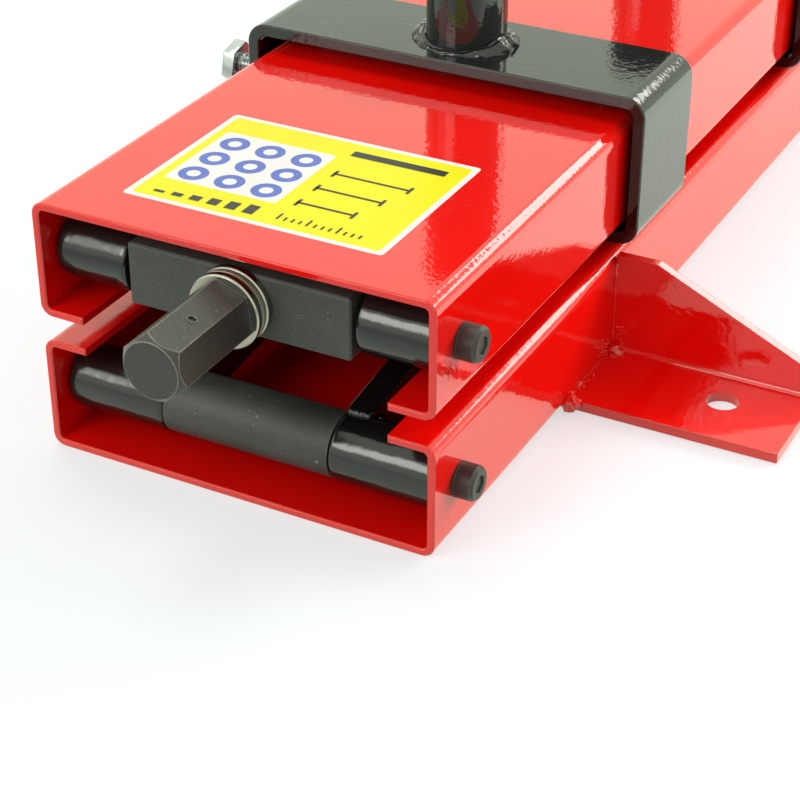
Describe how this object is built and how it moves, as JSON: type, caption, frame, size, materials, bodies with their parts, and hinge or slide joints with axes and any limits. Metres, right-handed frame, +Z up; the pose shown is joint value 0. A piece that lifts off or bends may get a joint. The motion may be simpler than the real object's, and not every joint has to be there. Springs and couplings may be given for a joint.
{
  "type": "motorcycle jack",
  "caption": "Low scissor jack with two folded channels, crossed arms, a lead screw with a hexagon drive head, feet and sliding post brackets.",
  "frame": {"origin": "centre of the lower channel's underside, where it rests on the floor", "axes": "+Z up; +Y along the channels from the drive head to the rear; +X right as seen from the drive head"},
  "size_m": [0.326, 0.511, 0.1923],
  "materials": {
    "red_enamel": "glossy red enamel",
    "black_enamel": "glossy black enamel",
    "black_phosphate": "matte black phosphate",
    "black_oxide": "satin black oxide",
    "bright_steel": "ground bright steel",
    "cage_steel": "pressed steel",
    "zinc_plate": "zinc plated"
  },
  "bodies": {
    "base": {"lower_rail": "red_enamel", "left_foot": "red_enamel", "right_foot": "red_enamel", "lower_front_shaft": "black_phosphate", "lower_front_screws": "black_oxide"},
    "inner_arms": {"inner_arm_left": "black_enamel", "inner_arm_right": "black_enamel", "inner_sleeve_left": "black_enamel", "inner_sleeve_right": "black_enamel", "centre_shaft": "black_phosphate", "centre_spacer": "black_phosphate", "centre_rings": "black_oxide"},
    "outer_arms": {"outer_arm_left": "black_enamel", "outer_arm_right": "black_enamel", "outer_sleeve_left": "black_enamel", "outer_sleeve_right": "black_enamel", "lower_rear_shaft": "black_phosphate"},
    "top": {"upper_rail": "red_enamel", "upper_front_block": "black_phosphate", "upper_front_screws": "black_oxide", "bearing_housing_washer": "bright_steel"},
    "nut_block": {"rear_nut_block": "black_phosphate"},
    "screw": {"lead_screw": "bright_steel", "hex_drive_head": "black_oxide", "hex_pin": "black_oxide", "bearing_shaft_washer": "bright_steel"},
    "ball_cage": {"bearing_cage": "cage_steel", "bearing_balls": "bright_steel"},
    "upper_left_roller": {"upper_roller_left": "black_phosphate"},
    "upper_right_roller": {"upper_roller_right": "black_phosphate"},
    "lower_left_roller": {"lower_roller_left": "black_phosphate"},
    "lower_right_roller": {"lower_roller_right": "black_phosphate"},
    "front_carrier": {"front_bracket": "black_enamel", "front_post": "black_enamel", "front_weld_nut": "black_enamel"},
    "rear_carrier": {"rear_bracket": "black_enamel", "rear_post": "black_enamel", "rear_weld_nut": "black_enamel"},
    "front_bolt": {"front_lock_bolt": "zinc_plate"},
    "rear_bolt": {"rear_lock_bolt": "zinc_plate"}
  },
  "joints": [
    {"name": "lift", "type": "hinge", "parent": "base", "child": "inner_arms", "pos_m": [0, -0.214, 0.0225], "axis": [1, 0, 0], "range_deg": [0, 48]},
    {"name": "arms_cross", "type": "hinge", "parent": "inner_arms", "child": "outer_arms", "pos_m": [0, -0.00175, 0.0498], "axis": [1, 0, 0], "range_deg": [-96, 0]},
    {"name": "top_level", "type": "hinge", "parent": "outer_arms", "child": "top", "pos_m": [0, -0.214, 0.0771], "axis": [1, 0, 0], "range_deg": [0, 48]},
    {"name": "nut_level", "type": "hinge", "parent": "inner_arms", "child": "nut_block", "pos_m": [0, 0.2105, 0.0771], "axis": [1, 0, 0], "range_deg": [-48, 0]},
    {"name": "screw_turn", "type": "hinge", "parent": "top", "child": "screw", "pos_m": [0, -0.235, 0.0771], "axis": [0, 1, 0], "continuous": true},
    {"name": "cage_turn", "type": "hinge", "parent": "top", "child": "ball_cage", "pos_m": [0, -0.2305, 0.0771], "axis": [0, 1, 0], "continuous": true},
    {"name": "upper_left_roller_turn", "type": "hinge", "parent": "nut_block", "child": "upper_left_roller", "pos_m": [0, 0.2105, 0.0771], "axis": [1, 0, 0], "continuous": true},
    {"name": "upper_right_roller_turn", "type": "hinge", "parent": "nut_block", "child": "upper_right_roller", "pos_m": [0, 0.2105, 0.0771], "axis": [1, 0, 0], "continuous": true},
    {"name": "lower_left_roller_turn", "type": "hinge", "parent": "outer_arms", "child": "lower_left_roller", "pos_m": [0, 0.2105, 0.0225], "axis": [1, 0, 0], "continuous": true},
    {"name": "lower_right_roller_turn", "type": "hinge", "parent": "outer_arms", "child": "lower_right_roller", "pos_m": [0, 0.2105, 0.0225], "axis": [1, 0, 0], "continuous": true},
    {"name": "front_bracket_slide", "type": "slide", "parent": "top", "child": "front_carrier", "axis": [0, 1, 0], "range_m": [-0.13, 0.07]},
    {"name": "rear_bracket_slide", "type": "slide", "parent": "top", "child": "rear_carrier", "axis": [0, 1, 0], "range_m": [-0.07, 0.055]},
    {"name": "front_bolt_travel", "type": "slide", "parent": "front_carrier", "child": "front_bolt", "axis": [-1, 0, 0], "range_m": [0, 0.006]},
    {"name": "rear_bolt_travel", "type": "slide", "parent": "rear_carrier", "child": "rear_bolt", "axis": [-1, 0, 0], "range_m": [0, 0.006]}
  ],
  "couplings": [
    {"joint": "arms_cross", "follows": "lift", "ratio": -2},
    {"joint": "top_level", "follows": "lift", "ratio": 1},
    {"joint": "nut_level", "follows": "lift", "ratio": -1},
    {"joint": "cage_turn", "follows": "screw_turn", "ratio": 0.5}
  ]
}
